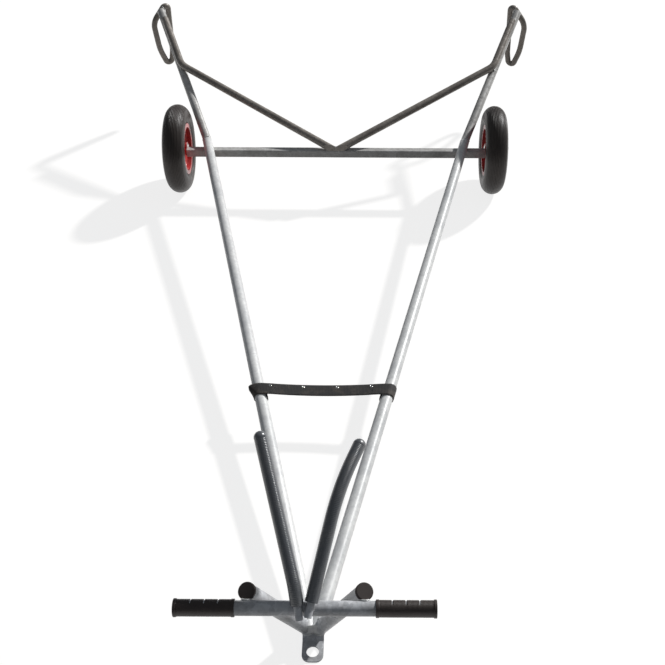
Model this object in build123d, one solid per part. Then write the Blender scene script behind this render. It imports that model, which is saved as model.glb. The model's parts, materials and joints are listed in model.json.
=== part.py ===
from build123d import *
import os
from math import atan2, cos, radians, sin, sqrt, tan

# Boat launching trolley, millimetres
# Plus X is the right side, plus Y runs from the handle back to the wheels, plus Z is up
# While the pieces are built, Y is zero on the wheel axis and Z is zero on the ground

# Sizes of the whole trolley
track = 1452.0
axle_to_nose = 2463.0
axle_to_loop = 765.2
loop_outside_wheel = 164.6
loop_weld_height = 560.9
rail_inside_wheel = 140.5
nose_axis_height = 58.0

# Clearances
weld_gap = 0.3
running_gap = 0.2
soft_gap = 0.4
overrun = 20.0

# Tubes and bars
rail_r = 21.2
rear_arm_r = 19.0
brace_r = 16.85
loop_r = 14.0
bar_r = 19.0
post_r = 9.8
beam_side = 35.0
beam_corner_r = 4.0

# Wheels
tyre_r = 200.0
tyre_width = 100.0
tyre_wall = 9.0
tread_half_width = 36.0
shoulder_drop = 15.5
bead_half_width = 35.0
rim_flange_r = 116.0
rim_seat_r = 101.5
rim_well_r = 84.0
rim_half_width = 41.0
rim_well_half_width = 12.0
rim_ramp = 7.0
rim_sheet = 3.2
disc_sheet = 5.0
hub_r = 23.0
hub_length = 75.0
hub_collar_r = 31.0
hub_collar_length = 6.0
stub_r = 10.0
stub_on_beam = 120.0
stub_tail = 22.0
washer_r = 23.0
washer_thickness = 3.0
pin_r = 2.5
pin_loop_r = 11.0
pin_stem = 44.0
pin_set_back = 6.0

# Rails, rear arms and braces
rail_overhang = 27.0
bend_lead = 15.0
bend_lead_share = 0.845
brace_bend_r = 90.0
brace_run_share = 0.512
brace_lift_angle = 95.5
brace_end_gap = 110.0
brace_aim_ahead = 30.0
brace_aim_above = 7.0

# Gunwale loops, closed tube loops at the back
loop_height = 280.0
loop_width = 100.0
loop_turn_angle = 30.6
loop_lean_angle = 8.2
loop_peak_r = 15.5
loop_shoulder_r = 80.0
loop_outer_r = 300.0
loop_foot_r = 18.0
loop_inner_r = 80.0

# Tow eye plate
eye_plate_width = 61.0
eye_plate_thickness = 5.0
eye_hole_r = 17.8
eye_front_length = 66.0
eye_to_front = 32.5
eye_drop_run = 33.0
eye_weld_length = 95.0
eye_nose_lead = 20.0
eye_corner_r = 22.0

# Handle
bar_ahead_of_nose = 225.5
bar_height = 397.4
bar_half_length = 319.0
arm_top_half_spread = 145.0
arm_above_bar = 21.6
arm_foot_ahead = 25.5
arm_foot_height = 35.6
arm_foot_run = 24.0
rail_tip_ahead = 50.0
arm_cap_wall = 1.2
arm_cap_length = 9.0
arm_cap_crown = 3.0
grip_length = 150.0
grip_wall = 1.9
grip_end_r = 22.8
grip_end_length = 7.0
grip_collar_r = 22.3
grip_collar_length = 8.0
grip_end_wall = 3.5

# Bow posts and their sleeves
post_foot_half_spread = 10.1
post_foot_offset = 2.4
post_foot_run = 20.0
post_spread = 116.0
post_run_back = 300.0
post_rise = 285.0
post_tight_bend_r = 150.0
post_wide_bend_r = 400.0
sleeve_r = 17.0
sleeve_end = 8.0
sleeve_start = 38.0

# Bow strap
strap_ahead_of_axle = 1600.0
strap_width = 50.0
strap_thickness = 6.0
strap_drop = 4.0
strap_sag = 7.0
strap_seam_run = 48.0


# Shared ways of making pieces
def straight_tube(start, end, radius):
    path = Line(start, end)
    return sweep(Plane(origin=start, z_dir=end - start) * Circle(radius), path=path)


def bent_tube(points, radius, bend_r):
    path = FilletPolyline(*points, radius=bend_r)
    return sweep(Plane(origin=path @ 0, z_dir=path % 0) * Circle(radius), path=path)


def largest(shape):
    return max(shape.solids(), key=lambda solid: solid.volume)


def ring_of(profile_points):
    outline = make_face(Polyline(*profile_points, close=True))
    return revolve(outline, axis=Axis.X)


nodes = {}


def both_sides(name, shape):
    nodes[name + "_right"] = shape
    nodes[name + "_left"] = mirror(shape, about=Plane.YZ)


# Axle beam with its two stubs along its back
wheel_x = track / 2
rail_half_spread = wheel_x - rail_inside_wheel
loop_half_spread = wheel_x + loop_outside_wheel
beam_y = -(beam_side / 2 + stub_r + weld_gap)
beam_top = tyre_r + beam_side / 2
beam_half_length = wheel_x - hub_length / 2 - washer_thickness - 2 * running_gap
beam_outline = Plane.YZ * RectangleRounded(beam_side, beam_side, beam_corner_r)
axle_beam = extrude(beam_outline, amount=beam_half_length, both=True)
nodes["axle_beam"] = Pos(0, beam_y, tyre_r) * axle_beam

stub_start = beam_half_length - stub_on_beam
stub_end = wheel_x + hub_length / 2 + washer_thickness + stub_tail
stub_length = stub_end - stub_start
stub = Plane.YZ * Circle(stub_r)
stub = Pos(stub_start, 0, tyre_r) * extrude(stub, amount=stub_length)
pin_x = wheel_x + hub_length / 2 + washer_thickness + 2 * running_gap + pin_set_back
pin_hole = Pos(pin_x, 0, tyre_r) * Cylinder(pin_r + running_gap, 2 * (stub_r + overrun))
stub = stub - pin_hole
both_sides("axle_stub", stub)

# Washers inside and outside of each hub, and the spring pin that holds the wheel on
washer_outline = Plane.YZ * (Circle(washer_r) - Circle(stub_r + weld_gap))
washer = extrude(washer_outline, amount=washer_thickness)
inner_washer_x = beam_half_length + running_gap
outer_washer_x = wheel_x + hub_length / 2 + running_gap
both_sides("inner_washer", Pos(inner_washer_x, 0, tyre_r) * washer)
both_sides("outer_washer", Pos(outer_washer_x, 0, tyre_r) * washer)
pin_top = stub_r + pin_loop_r + pin_r + weld_gap
pin_path_points = [
    Vector(pin_x, 0, tyre_r - pin_stem / 2),
    Vector(pin_x, 0, tyre_r + pin_top),
    Vector(pin_x + 2 * pin_loop_r, 0, tyre_r + pin_top),
    Vector(pin_x + 2 * pin_loop_r, 0, tyre_r - pin_stem / 2 + pin_loop_r),
]
both_sides("wheel_pin", bent_tube(pin_path_points, pin_r, pin_loop_r - pin_r / 2))

# Hub with a collar at each end
hub = Plane.YZ * (Circle(hub_r) - Circle(stub_r + running_gap))
hub = extrude(hub, amount=hub_length / 2, both=True)
collar = Plane.YZ * (Circle(hub_collar_r) - Circle(hub_r - rim_sheet))
collar = Pos(-hub_length / 2, 0, 0) * extrude(collar, amount=hub_collar_length)
hub = hub + collar + mirror(collar, about=Plane.YZ)
both_sides("hub", Pos(wheel_x, 0, tyre_r) * hub)

# Rim as one pressed wheel, profile as X and radius
seat_inner_x = rim_well_half_width + rim_ramp
flange_inner_x = rim_half_width - rim_sheet
disc_half = disc_sheet / 2
rim_right_half = [
    (rim_well_half_width, rim_well_r),
    (seat_inner_x, rim_seat_r),
    (flange_inner_x, rim_seat_r),
    (flange_inner_x, rim_flange_r),
    (rim_half_width, rim_flange_r),
    (rim_half_width, rim_seat_r - rim_sheet),
    (seat_inner_x + rim_sheet / 2, rim_seat_r - rim_sheet),
    (rim_well_half_width + rim_sheet / 2, rim_well_r - rim_sheet),
    (disc_half, rim_well_r - rim_sheet),
    (disc_half, hub_r + weld_gap),
]
rim_left_half = [(-x, r) for x, r in reversed(rim_right_half)]
rim = ring_of([Vector(x, r, 0) for x, r in rim_right_half + rim_left_half])
both_sides("rim", Pos(wheel_x, 0, tyre_r) * rim)

# Tyre, hollow, from lines and arcs, profile as X and radius
half_width = tyre_width / 2
bead_r = rim_seat_r + soft_gap
bulge_r = (rim_flange_r + tyre_r) / 2 - tyre_wall / 2
shoulder_r = tyre_r - shoulder_drop
lip_r = rim_flange_r + 2 * soft_gap
tyre_edges = [
    Line((-bead_half_width, bead_r), (bead_half_width, bead_r)),
    Line((bead_half_width, bead_r), (bead_half_width, lip_r)),
    ThreePointArc((bead_half_width, lip_r), (half_width, bulge_r), (tread_half_width, shoulder_r)),
    ThreePointArc((tread_half_width, shoulder_r), (0, tyre_r), (-tread_half_width, shoulder_r)),
    ThreePointArc((-tread_half_width, shoulder_r), (-half_width, bulge_r), (-bead_half_width, lip_r)),
    Line((-bead_half_width, lip_r), (-bead_half_width, bead_r)),
]
cavity_foot_x = bead_half_width - tyre_wall
cavity_side_x = half_width - tyre_wall
cavity_top_x = tread_half_width - tyre_wall
cavity_top_r = shoulder_r - tyre_wall
cavity_edges = [
    Line((-cavity_foot_x, bead_r - overrun), (cavity_foot_x, bead_r - overrun)),
    Line((cavity_foot_x, bead_r - overrun), (cavity_foot_x, lip_r)),
    ThreePointArc((cavity_foot_x, lip_r), (cavity_side_x, bulge_r), (cavity_top_x, cavity_top_r)),
    ThreePointArc((cavity_top_x, cavity_top_r), (0, tyre_r - tyre_wall), (-cavity_top_x, cavity_top_r)),
    ThreePointArc((-cavity_top_x, cavity_top_r), (-cavity_side_x, bulge_r), (-cavity_foot_x, lip_r)),
    Line((-cavity_foot_x, lip_r), (-cavity_foot_x, bead_r - overrun)),
]
tyre_face = make_face(tyre_edges) - make_face(cavity_edges)
tyre = revolve(tyre_face, axis=Axis.X)
both_sides("tyre", Pos(wheel_x, 0, tyre_r) * tyre)

# Places of the right rail and rear arm, from the nose over the axle to the gunwale loop
rail_axle_z = beam_top + weld_gap + rail_r
nose_half_spread = rail_r + weld_gap
nose_point = Vector(nose_half_spread, -axle_to_nose, nose_axis_height)
axle_point = Vector(rail_half_spread, beam_y, rail_axle_z)
loop_point = Vector(loop_half_spread, axle_to_loop, loop_weld_height)
rail_front = (axle_point - nose_point).normalized()
rail_end = axle_point + rail_front * rail_overhang
bend_point = rail_end + rail_front * bend_lead
rail_back = (loop_point - bend_point).normalized()
bend_turn = radians(rail_front.get_angle(rail_back))
rear_arm_bend_r = bend_lead * bend_lead_share / tan(bend_turn / 2)

# Gunwale loop, a closed tube in a plane that leans forward a little
# Columns are share of the width, share of the height and bend radius
loop_corner_shares = [
    (-0.391, 0.136, loop_peak_r),
    (0.421, -0.228, loop_shoulder_r),
    (0.193, -0.771, loop_outer_r),
    (-0.357, -1.259, loop_foot_r),
    (-0.483, -0.853, loop_inner_r),
]
loop_turn = radians(loop_turn_angle)
loop_lean = radians(loop_lean_angle)
loop_plane = Plane(
    origin=loop_point,
    x_dir=Vector(cos(loop_turn), -sin(loop_turn), 0),
    z_dir=Vector(-sin(loop_turn) * cos(loop_lean), -cos(loop_turn) * cos(loop_lean), -sin(loop_lean)),
)


def loop_tube(radius):
    corners = [(a * loop_width, b * loop_height) for a, b, bend in loop_corner_shares]
    outline = make_face(Polyline(*corners, close=True))
    for place, (a, b, bend) in zip(corners, loop_corner_shares):
        corner = outline.vertices().sort_by_distance(place)[0]
        outline = fillet(corner, bend)
    wire = loop_plane * outline.face().outer_wire()
    return sweep(Plane(origin=wire @ 0, z_dir=wire % 0) * Circle(radius), path=wire)


loop = loop_tube(loop_r)
loop_room = loop_tube(loop_r + weld_gap)
both_sides("gunwale_loop", loop)

# Tow eye plate, a flat bar under the rail ends that steps down to the ground
rail_slope = atan2(rail_axle_z - nose_axis_height, axle_to_nose)
under_nose = nose_axis_height - rail_r / cos(rail_slope) - weld_gap
plate_top_y = -axle_to_nose - eye_nose_lead
plate_top_z = under_nose - eye_nose_lead * tan(rail_slope)
plate_back_y = -axle_to_nose + eye_weld_length
plate_back_z = under_nose + eye_weld_length * tan(rail_slope)
plate_step_y = plate_top_y - eye_drop_run
plate_front_y = plate_step_y - eye_front_length
step_angle = atan2(plate_top_z - eye_plate_thickness, eye_drop_run)
low_joint = eye_plate_thickness * tan(step_angle / 2)
high_joint = eye_plate_thickness * tan((step_angle - rail_slope) / 2)
side_outline = [
    (plate_front_y, 0),
    (plate_step_y + low_joint, 0),
    (plate_top_y + high_joint, plate_top_z - eye_plate_thickness),
    (plate_back_y, plate_back_z - eye_plate_thickness),
    (plate_back_y, plate_back_z),
    (plate_top_y, plate_top_z),
    (plate_step_y, eye_plate_thickness),
    (plate_front_y, eye_plate_thickness),
]
plate_face = make_face(Polyline(*side_outline, close=True))
plate = extrude(Plane.YZ * plate_face, amount=eye_plate_width / 2, both=True)
front_corners = plate.edges().filter_by(Axis.Z).group_by(Axis.Y)[0]
plate = fillet(front_corners, eye_corner_r)
eye_y = plate_front_y + eye_to_front
plate = plate - Pos(0, eye_y, 0) * Cylinder(eye_hole_r, 4 * eye_plate_thickness)
nodes["tow_eye_plate"] = plate

# Handle arm, from the tow eye plate up behind the handle bar
bar_y = -axle_to_nose - bar_ahead_of_nose
bar_start = Vector(-bar_half_length, bar_y, bar_height)
bar_end = Vector(bar_half_length, bar_y, bar_height)
arm_foot = Vector(nose_half_spread, -axle_to_nose - arm_foot_ahead, arm_foot_height)
arm_rise = bar_height + arm_above_bar - arm_foot_height
arm_reach = rail_r + bar_r + weld_gap
foot_to_bar = bar_ahead_of_nose - arm_foot_ahead
arm_run = foot_to_bar
for attempt in range(6):
    tip = atan2(arm_run, arm_rise)
    arm_run = foot_to_bar - arm_reach / cos(tip) + arm_above_bar * tan(tip)
arm_top = Vector(arm_top_half_spread, arm_foot.Y - arm_run, arm_foot.Z + arm_rise)
arm_way = (arm_top - arm_foot).normalized()
arm_bottom = arm_foot - arm_way * arm_foot_run
middle_cut = Pos(-overrun, nose_point.Y, nose_point.Z) * Box(2 * overrun, 10 * rail_r, 10 * rail_r)
middle_cut = Pos(weld_gap / 2, 0, 0) * middle_cut
arm = straight_tube(arm_bottom, arm_top, rail_r) - middle_cut
arm_room = straight_tube(arm_bottom - arm_way * overrun, arm_top, rail_r + weld_gap)
plate_top_outline = side_outline[3:]
below_plate = make_face(Polyline(*plate_top_outline, (plate_back_y, 0), close=True))
below_plate = Pos(0, 0, weld_gap) * extrude(Plane.YZ * below_plate, amount=2 * rail_r, both=True)
both_sides("handle_arm", largest(arm - below_plate))

# Side rail, coped to the arm in front, and the thinner rear arm from its end to the gunwale loop
rail_tip = nose_point - rail_front * rail_tip_ahead
rail = straight_tube(rail_tip, rail_end, rail_r)
beam_room = Pos(0, beam_y, tyre_r) * Box(track, beam_side + 2 * weld_gap, beam_side + 2 * weld_gap)
rail = largest(rail - arm_room - middle_cut - beam_room)
both_sides("side_rail", rail)
rear_arm_start = rail_end + rail_front * weld_gap
rear_arm_end = loop_point - rail_back * loop_r
rear_arm_points = [rear_arm_start, bend_point, rear_arm_end]
rear_arm = largest(bent_tube(rear_arm_points, rear_arm_r, rear_arm_bend_r) - loop_room)
rear_arm_room = bent_tube(rear_arm_points, rear_arm_r + weld_gap, rear_arm_bend_r)
both_sides("rear_arm", rear_arm)

# Rear brace, from the middle of the axle out to the rear arm and up on top of it
inboard = Vector(-rail_back.Y, rail_back.X, 0).normalized()
upward = rail_back.cross(inboard)
if upward.Z < 0:
    upward = upward * -1
lift = radians(brace_lift_angle)
brace_offset = (inboard * cos(lift) + upward * sin(lift)) * (rear_arm_r + brace_r + weld_gap)
back_length = (loop_point - bend_point).length
brace_knee = bend_point + rail_back * (back_length * brace_run_share) + brace_offset
brace_end = loop_point - rail_back * brace_end_gap + brace_offset
brace_aim = Vector(0, beam_y - brace_aim_ahead, beam_top + brace_aim_above)
brace_way = (brace_knee - brace_aim).normalized()
brace_lead = brace_aim - brace_way * (2 * brace_r)
brace = bent_tube([brace_lead, brace_knee, brace_end], brace_r, brace_bend_r)
brace_cut = Pos(weld_gap / 2 - 2 * rail_r, beam_y, beam_top) * Box(4 * rail_r, 10 * rail_r, 10 * rail_r)
beam_front = Pos(0, beam_y - beam_side / 2 - 2 * rail_r, beam_top) * Box(track, 4 * rail_r, 10 * rail_r)
brace = largest(brace - brace_cut - beam_front - beam_room - loop_room - rear_arm_room)
both_sides("rear_brace", brace)

# Handle bar
bar = straight_tube(bar_start, bar_end, bar_r)
bar_room = straight_tube(bar_start, bar_end, bar_r + soft_gap)
nodes["handle_bar"] = bar

# Bow posts welded over the front of the handle bar, with ribbed sleeves
# Columns are name, side, knee and top as shares of the spread, run back and rise, and bend radius
post_shares = [
    ("left", -1, (0.209, 0.045, 0.228), (1.0, 1.0, 1.0), post_tight_bend_r),
    ("right", 1, (0.689, 0.667, 0.752), (1.127, 1.05, 0.886), post_wide_bend_r),
]
post_reach = bar_r + post_r + weld_gap
for name, side, knee_shares, top_shares, bend_r in post_shares:
    knee = [share * size for share, size in zip(knee_shares, (post_spread, post_run_back, post_rise))]
    top = [share * size for share, size in zip(top_shares, (post_spread, post_run_back, post_rise))]
    post_knee = Vector(side * knee[0], bar_y + knee[1], bar_height + knee[2])
    post_top = Vector(side * top[0], bar_y + top[1], bar_height + top[2])
    touch_angle = atan2(knee[2], knee[1])
    for attempt in range(6):
        touch_y = -post_reach * sin(touch_angle)
        touch_z = post_reach * cos(touch_angle)
        touch_angle = atan2(knee[2] - touch_z, knee[1] - touch_y)
    foot_y = bar_y + touch_y - post_foot_run * cos(touch_angle)
    foot_z = bar_height + touch_z - post_foot_run * sin(touch_angle)
    post_foot = Vector(side * post_foot_half_spread - post_foot_offset, foot_y, foot_z)
    post_way = (post_knee - post_foot).normalized()
    post = bent_tube([post_foot, post_knee, post_top], post_r, bend_r)
    nodes["bow_post_" + name] = post
    sleeve_foot = post_foot + post_way * sleeve_start
    sleeve_way = (post_top - post_knee).normalized()
    sleeve_tip = post_top + sleeve_way * sleeve_end
    sleeve = bent_tube([sleeve_foot, post_knee, sleeve_tip], sleeve_r, bend_r)
    top_edge = sleeve.edges().filter_by(GeomType.CIRCLE).sort_by(Axis.Z)[-1]
    sleeve = fillet(top_edge, sleeve_r / 2)
    bore_end = post_top + sleeve_way * soft_gap
    sleeve = sleeve - bent_tube([post_foot, post_knee, bore_end], post_r + soft_gap, bend_r)
    nodes["bow_sleeve_" + name] = sleeve - bar_room

# Grips with a collar inside and a closed flange outside
grip_inner_x = bar_half_length + soft_gap + grip_end_wall - grip_length
grip_outer_x = bar_half_length + soft_gap + grip_end_wall
grip = Plane.YZ * Circle(bar_r + soft_gap + grip_wall)
grip = Pos(grip_inner_x, 0, 0) * extrude(grip, amount=grip_length)
collar = Plane.YZ * Circle(grip_collar_r)
collar = Pos(grip_inner_x, 0, 0) * extrude(collar, amount=grip_collar_length)
flange = Plane.YZ * Circle(grip_end_r)
flange = Pos(grip_outer_x - grip_end_length, 0, 0) * extrude(flange, amount=grip_end_length)
grip_bore = Plane.YZ * Circle(bar_r + soft_gap)
bore_length = grip_length + overrun - grip_end_wall
grip_bore = Pos(grip_inner_x - overrun, 0, 0) * extrude(grip_bore, amount=bore_length)
grip = grip + collar + flange - grip_bore
both_sides("handle_grip", Pos(0, bar_y, bar_height) * grip)

# Round caps on the arm ends
cap_r = rail_r + soft_gap + arm_cap_wall
cap_mouth = arm_top - arm_way * (arm_cap_length - soft_gap - arm_cap_crown)
cap_tip = arm_top + arm_way * (soft_gap + arm_cap_crown)
cap = straight_tube(cap_mouth, cap_tip, cap_r)
cap_edge = cap.edges().filter_by(GeomType.CIRCLE).sort_by(Axis.Z)[-1]
cap = fillet(cap_edge, arm_cap_crown)
cap = cap - straight_tube(cap_mouth - arm_way * overrun, arm_top + arm_way * soft_gap, rail_r + soft_gap)
both_sides("arm_cap", largest(cap - bar_room))

# Bow strap, a belt over both rails with its ends looped round them
strap_y = -strap_ahead_of_axle
strap_share = (axle_to_nose - strap_ahead_of_axle) / (axle_to_nose + beam_y)
strap_rail = nose_point + (axle_point - nose_point) * strap_share
strap_inner_r = rail_r + soft_gap
strap_outer_r = strap_inner_r + strap_thickness
wrap_half = rail_front * (strap_width + overrun)
wrap = straight_tube(strap_rail - wrap_half, strap_rail + wrap_half, strap_outer_r)
wrap = wrap & (Pos(0, strap_y, strap_rail.Z) * Box(track, strap_width, 4 * strap_outer_r))
rail_room_front = straight_tube(strap_rail - wrap_half * 2, strap_rail + wrap_half * 2, strap_inner_r)
seam_x = strap_rail.X - strap_seam_run
seam_z = strap_rail.Z + strap_outer_r - strap_drop
belt_outline = [
    (-strap_rail.X, strap_rail.Z + strap_outer_r),
    (-seam_x, seam_z),
    (0, seam_z - strap_sag),
    (seam_x, seam_z),
    (strap_rail.X, strap_rail.Z + strap_outer_r),
    (strap_rail.X, strap_rail.Z + strap_inner_r),
    (seam_x, seam_z - strap_thickness),
    (0, seam_z - strap_sag - strap_thickness),
    (-seam_x, seam_z - strap_thickness),
    (-strap_rail.X, strap_rail.Z + strap_inner_r),
]
belt = make_face(Polyline(*belt_outline, close=True))
belt = Pos(0, strap_y, 0) * extrude(Plane.XZ * belt, amount=strap_width / 2, both=True)
strap = belt + wrap + mirror(wrap, about=Plane.YZ)
strap = strap - rail_room_front - mirror(rail_room_front, about=Plane.YZ)
nodes["bow_strap"] = largest(strap)

# The origin goes to the middle of the outline, on the ground
everything = Compound(children=[Compound(shape.solids()) for shape in nodes.values()])
box = everything.bounding_box()
shift = Pos(-(box.min.X + box.max.X) / 2, -(box.min.Y + box.max.Y) / 2, -box.min.Z)
for name, shape in nodes.items():
    solids = [shift * solid for solid in shape.solids()]
    export_step(solids[0] if len(solids) == 1 else Compound(solids), f"parts/{name}.step")
    print(name, len(solids), round(sum(solid.volume for solid in solids) / 1000.0, 1), "cm3")
print("shift in Y", round(-(box.min.Y + box.max.Y) / 2, 2), "in Z", round(-box.min.Z, 3))
print("size", round(box.size.X, 1), round(box.size.Y, 1), round(box.size.Z, 1))
for label, point in (("nose", nose_point), ("bend", bend_point), ("loop", loop_point), ("arm top", arm_top)):
    print(label, round(point.X, 1), round(point.Y, 1), round(point.Z, 1))
print("eye", round(eye_y, 1), "bar", round(bar_y, 1), "strap", round(strap_rail.X, 1))
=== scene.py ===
# %% [markdown]
# # Boat launching trolley
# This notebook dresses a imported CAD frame. The tubes, the axle and the wheel parts come from the
# frame and keep their shape; here they get their finishes, and the pieces that need finer work than
# CAD gives, such as the grooved tyres, the ribbed sleeves and the webbing strap, are made as meshes.

# %% Load the frame
import json
import math
import random
import bpy
from mathutils import Matrix, Vector
from mathutils.bvhtree import BVHTree


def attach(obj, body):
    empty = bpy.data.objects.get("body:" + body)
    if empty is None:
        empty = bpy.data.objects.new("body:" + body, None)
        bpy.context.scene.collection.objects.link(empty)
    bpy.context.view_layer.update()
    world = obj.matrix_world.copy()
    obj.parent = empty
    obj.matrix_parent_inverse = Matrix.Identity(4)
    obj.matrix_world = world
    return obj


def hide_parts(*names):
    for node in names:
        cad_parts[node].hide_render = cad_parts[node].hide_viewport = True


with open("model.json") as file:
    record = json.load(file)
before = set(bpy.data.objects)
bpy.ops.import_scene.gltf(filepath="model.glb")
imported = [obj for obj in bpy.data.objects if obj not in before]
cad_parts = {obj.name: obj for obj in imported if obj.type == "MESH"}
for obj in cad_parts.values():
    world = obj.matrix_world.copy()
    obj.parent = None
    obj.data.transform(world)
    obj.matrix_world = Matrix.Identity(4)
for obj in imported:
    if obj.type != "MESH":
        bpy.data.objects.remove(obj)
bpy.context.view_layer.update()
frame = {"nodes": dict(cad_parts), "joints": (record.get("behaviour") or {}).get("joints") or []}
nodes = frame["nodes"]
wheel_joints = {joint["child"]: Vector(joint["pos_m"]) for joint in frame["joints"]}
axle_y = wheel_joints["wheel_right"].y
print("nodes", len(nodes), "wheel axis at", [round(v, 4) for v in wheel_joints["wheel_right"]])

# %% [markdown]
# ## Camera
# The photograph looks down on the trolley from in front of its handle. Its place, tilt and lens were
# worked out from the axle, the wheels and the two rails, so the same camera is written as numbers.
# A small shift keeps the trolley where it sits in the frame.

# %% Camera
FRAME_PIXELS = 665
FOCAL_PIXELS = 999.66
SENSOR_MM = 36.0
CAMERA_FROM_AXLE = Vector((0.14833, -4.1671, 2.4408))
LOOK_DOWN = math.radians(40.178)
ROLL = math.radians(0.30234)
AXIS_PIXEL = (367.03, 360.66)

forward = Vector((0, math.cos(LOOK_DOWN), -math.sin(LOOK_DOWN)))
up = Vector((0, math.sin(LOOK_DOWN), math.cos(LOOK_DOWN)))
side = Vector((1, 0, 0))
rolled_side = side * math.cos(ROLL) + up * math.sin(ROLL)
rolled_up = up * math.cos(ROLL) - side * math.sin(ROLL)
camera_turn = Matrix((rolled_side, rolled_up, -forward)).transposed().to_4x4()

camera_data = bpy.data.cameras.new("camera")
camera = bpy.data.objects.new("camera", camera_data)
bpy.context.scene.collection.objects.link(camera)
camera.matrix_world = Matrix.Translation(CAMERA_FROM_AXLE + Vector((0, axle_y, 0))) @ camera_turn
camera_data.sensor_width = SENSOR_MM
camera_data.lens = SENSOR_MM * FOCAL_PIXELS / FRAME_PIXELS
camera_data.shift_x = 0.5 - AXIS_PIXEL[0] / FRAME_PIXELS
camera_data.shift_y = AXIS_PIXEL[1] / FRAME_PIXELS - 0.5
bpy.context.scene.camera = camera
print("lens", round(camera_data.lens, 2), "shift", round(camera_data.shift_x, 4))

# %% [markdown]
# ## Node helpers
# A procedural finish is a small network of shader nodes. A few short helpers keep each network
# readable: one adds a node and sets its plain values, one links two sockets, one starts a material
# with its Principled shader, and one starts a node group with named inputs and outputs.

# %% Node helpers
FLOAT, VECTOR = "NodeSocketFloat", "NodeSocketVector"


def add_node(tree, kind, values=None, **settings):
    node = tree.nodes.new(kind)
    for name, value in settings.items():
        setattr(node, name, value)
    for name, value in (values or {}).items():
        node.inputs[name].default_value = value
    return node


def link(tree, source, target):
    tree.links.new(source, target)


def colour(red, green, blue):
    return (red, green, blue, 1.0)


def new_finish(name, **shader_values):
    finish = bpy.data.materials.new(name)
    finish.use_nodes = True
    tree = finish.node_tree
    shader = tree.nodes["Principled BSDF"]
    for socket, value in shader_values.items():
        shader.inputs[socket.replace("_", " ")].default_value = value
    place = add_node(tree, "ShaderNodeTexCoord")
    return finish, tree, shader, place.outputs["Object"]


def new_group(name, inputs, outputs):
    group = bpy.data.node_groups.new(name, "ShaderNodeTree")
    for label, kind, value in inputs:
        socket = group.interface.new_socket(label, in_out="INPUT", socket_type=kind)
        if value is not None:
            socket.default_value = value
    for label in outputs:
        group.interface.new_socket(label, in_out="OUTPUT", socket_type=FLOAT)
    start = group.nodes.new("NodeGroupInput")
    end = group.nodes.new("NodeGroupOutput")
    return group, start.outputs, end.inputs


def use_group(tree, group, place, **values):
    node = add_node(tree, "ShaderNodeGroup", node_tree=group)
    if place is not None:
        link(tree, place, node.inputs["Place"])
    for name, value in values.items():
        node.inputs[name.replace("_", " ")].default_value = value
    return node.outputs


print("node helpers ready")

# %% Mixing helpers
# A Mix node has one set of sockets for each kind of data, and these are the ones for colours
COLOUR_A, COLOUR_B, COLOUR_OUT = 6, 7, 2


def blend_colours(tree, factor, first, second):
    mix = add_node(tree, "ShaderNodeMix", data_type="RGBA")
    link(tree, factor, mix.inputs["Factor"])
    for socket, value in ((mix.inputs[COLOUR_A], first), (mix.inputs[COLOUR_B], second)):
        if isinstance(value, tuple):
            socket.default_value = value
        else:
            link(tree, value, socket)
    return mix.outputs[COLOUR_OUT]


def span(tree, value, low, high, to_low, to_high):
    ends = {"From Min": low, "From Max": high, "To Min": to_low, "To Max": to_high}
    node = add_node(tree, "ShaderNodeMapRange", ends)
    link(tree, value, node.inputs["Value"])
    return node.outputs["Result"]


def share_of(tree, mask, most):
    return span(tree, mask, 0.0, 1.0, 0.0, most)


def sum_of(tree, first, second):
    node = add_node(tree, "ShaderNodeMath", operation="ADD")
    link(tree, first, node.inputs[0])
    link(tree, second, node.inputs[1])
    return node.outputs["Value"]


def bump(tree, height, shader, strength, distance):
    node = add_node(tree, "ShaderNodeBump", {"Strength": strength, "Distance": distance})
    link(tree, height, node.inputs["Height"])
    link(tree, node.outputs["Normal"], shader.inputs["Normal"])


print("mixing helpers ready")

# %% [markdown]
# ## Shared effects
# Several finishes need the same effects, so each is a node group with its own inputs. Cloudy patches
# come from soft noise, spangle is the crystal pattern that zinc leaves on dipped steel, fine grain is
# the small roughness of rubber and cast parts, and edge wear finds the corners of a piece by asking
# how far a rounded normal leans away from the true one.

# %% Cloudy patches
patches, start, end = new_group(
    "Cloudy patches",
    [("Place", VECTOR, None), ("Size", FLOAT, 12.0), ("Low", FLOAT, 0.4), ("High", FLOAT, 0.65)],
    ["Mask"],
)
cloud = add_node(patches, "ShaderNodeTexNoise", {"Detail": 6.0, "Roughness": 0.62})
link(patches, start["Place"], cloud.inputs["Vector"])
link(patches, start["Size"], cloud.inputs["Scale"])
cut = add_node(patches, "ShaderNodeMapRange", interpolation_type="SMOOTHSTEP")
link(patches, cloud.outputs["Fac"], cut.inputs["Value"])
link(patches, start["Low"], cut.inputs["From Min"])
link(patches, start["High"], cut.inputs["From Max"])
link(patches, cut.outputs["Result"], end["Mask"])
print("group", patches.name)

# %% Spangle
CRYSTAL_WARP = 0.012
spangle, start, end = new_group(
    "Spangle", [("Place", VECTOR, None), ("Size", FLOAT, 90.0)], ["Tone", "Height"]
)
warp = add_node(spangle, "ShaderNodeTexNoise", {"Scale": 60.0, "Detail": 3.0})
link(spangle, start["Place"], warp.inputs["Vector"])
push = add_node(spangle, "ShaderNodeVectorMath", operation="MULTIPLY_ADD")
push.inputs[1].default_value = [CRYSTAL_WARP] * 3
link(spangle, warp.outputs["Color"], push.inputs[0])
link(spangle, start["Place"], push.inputs[2])
crystals = add_node(spangle, "ShaderNodeTexVoronoi", {"Randomness": 1.0})
link(spangle, push.outputs["Vector"], crystals.inputs["Vector"])
link(spangle, start["Size"], crystals.inputs["Scale"])
tone = add_node(spangle, "ShaderNodeSeparateColor")
link(spangle, crystals.outputs["Color"], tone.inputs["Color"])
link(spangle, tone.outputs["Red"], end["Tone"])
link(spangle, tone.outputs["Green"], end["Height"])
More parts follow.
